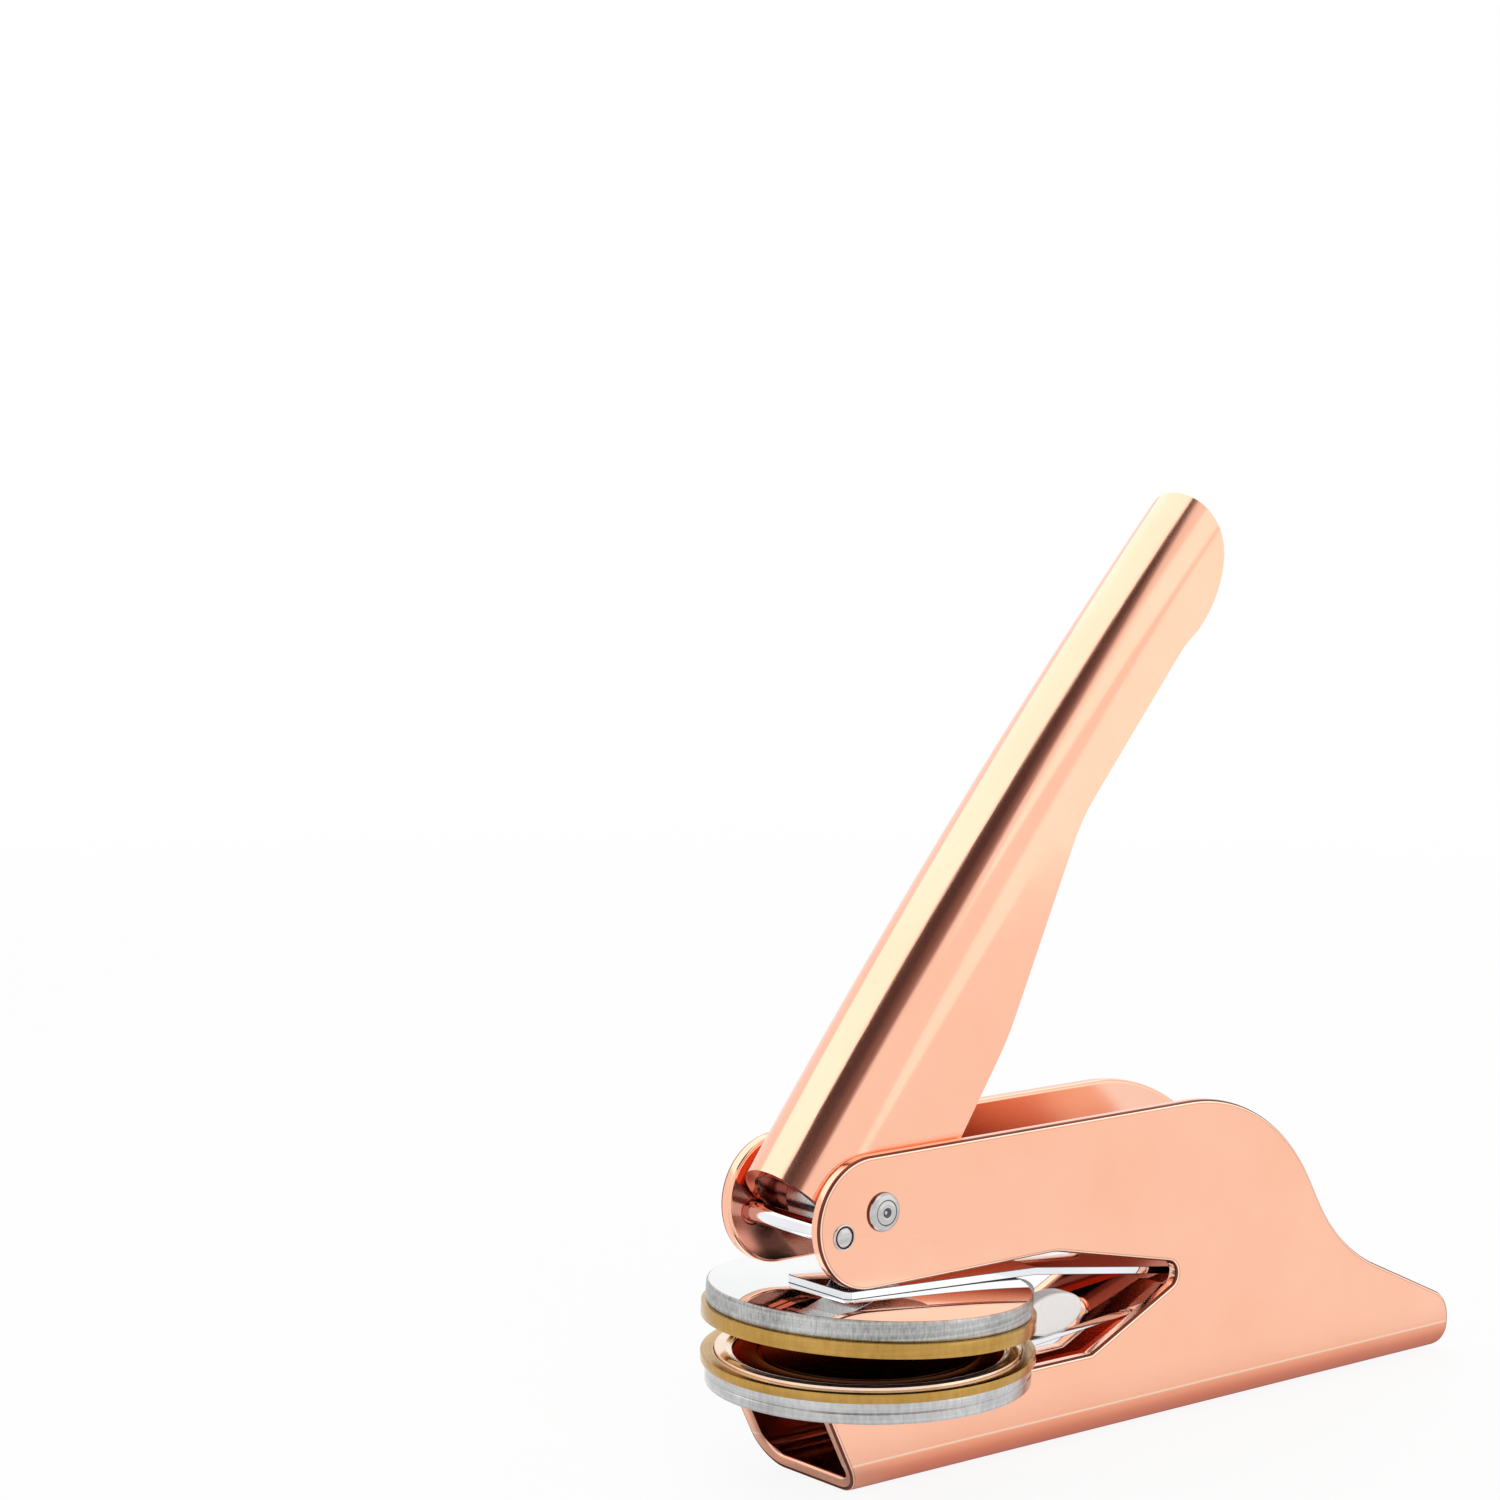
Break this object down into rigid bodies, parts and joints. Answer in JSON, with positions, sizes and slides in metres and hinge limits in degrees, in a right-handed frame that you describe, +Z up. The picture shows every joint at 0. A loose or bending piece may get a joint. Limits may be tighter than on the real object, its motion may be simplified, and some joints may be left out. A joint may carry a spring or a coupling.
{
  "type": "seal embosser",
  "caption": "Hand-lever seal embosser: folded channel frame, arched lever with a press cam, and a sprung clip that carries two round dies.",
  "frame": {"origin": "point under the centre of the dies on the flat underside of the folded frame", "axes": "+X from the dies towards the tail, +Y across to the far plate, +Z up from the face it stands on"},
  "size_m": [0.1431, 0.05, 0.1444],
  "materials": {
    "rose_gold_plate": "glossy rose-gold plate on steel",
    "polished_steel": "bright nickel plate",
    "turned_steel": "turned and riveted",
    "milled_aluminium": "polished faces, finely milled rim",
    "brass": "turned, semi-gloss",
    "copper_ring": "polished copper tone",
    "die_metal": "darkened, satin",
    "counter_die": "matt black",
    "white_nylon": "smooth white"
  },
  "bodies": {
    "frame": {"frame_channel": "rose_gold_plate", "pivot_rivet": "turned_steel", "stop_pin": "polished_steel"},
    "handle": {"handle_lever": "rose_gold_plate", "press_cam": "turned_steel", "cam_bush": "turned_steel", "pivot_spacers": "turned_steel", "cam_rivet_spacers": "turned_steel", "cam_rivet": "turned_steel"},
    "insert": {"lower_arm": "polished_steel", "leaf_root": "polished_steel", "clip_rivets": "turned_steel", "lower_holder": "milled_aluminium", "lower_holder_rivets": "turned_steel", "paper_stop": "white_nylon", "stop_rivet": "turned_steel", "lower_die_plate": "brass", "lower_die_ring": "copper_ring", "lower_die_face": "die_metal"},
    "upper_die": {"upper_leaf": "polished_steel", "upper_holder": "milled_aluminium", "upper_holder_rivets": "turned_steel", "upper_die_plate": "brass", "upper_die_face": "counter_die"}
  },
  "joints": [
    {"name": "handle_press", "type": "hinge", "parent": "frame", "child": "handle", "pos_m": [-0.007, 0, 0.0417], "axis": [0, 1, 0], "range_deg": [0, 42], "stiffness_Nm_per_rad": 0.0817, "springref_deg": -38.96},
    {"name": "die_close", "type": "hinge", "parent": "insert", "child": "upper_die", "pos_m": [0.0784, 0, 0.0192], "axis": [0, 1, 0], "range_deg": [-3.1, 0], "stiffness_Nm_per_rad": 1, "springref_deg": 2.58},
    {"name": "insert_slide", "type": "slide", "parent": "frame", "child": "insert", "axis": [-1, 0, 0], "range_m": [0, 0.06]}
  ],
  "couplings": [
    {"joint": "die_close", "follows": "handle_press", "ratio": -0.0738}
  ]
}
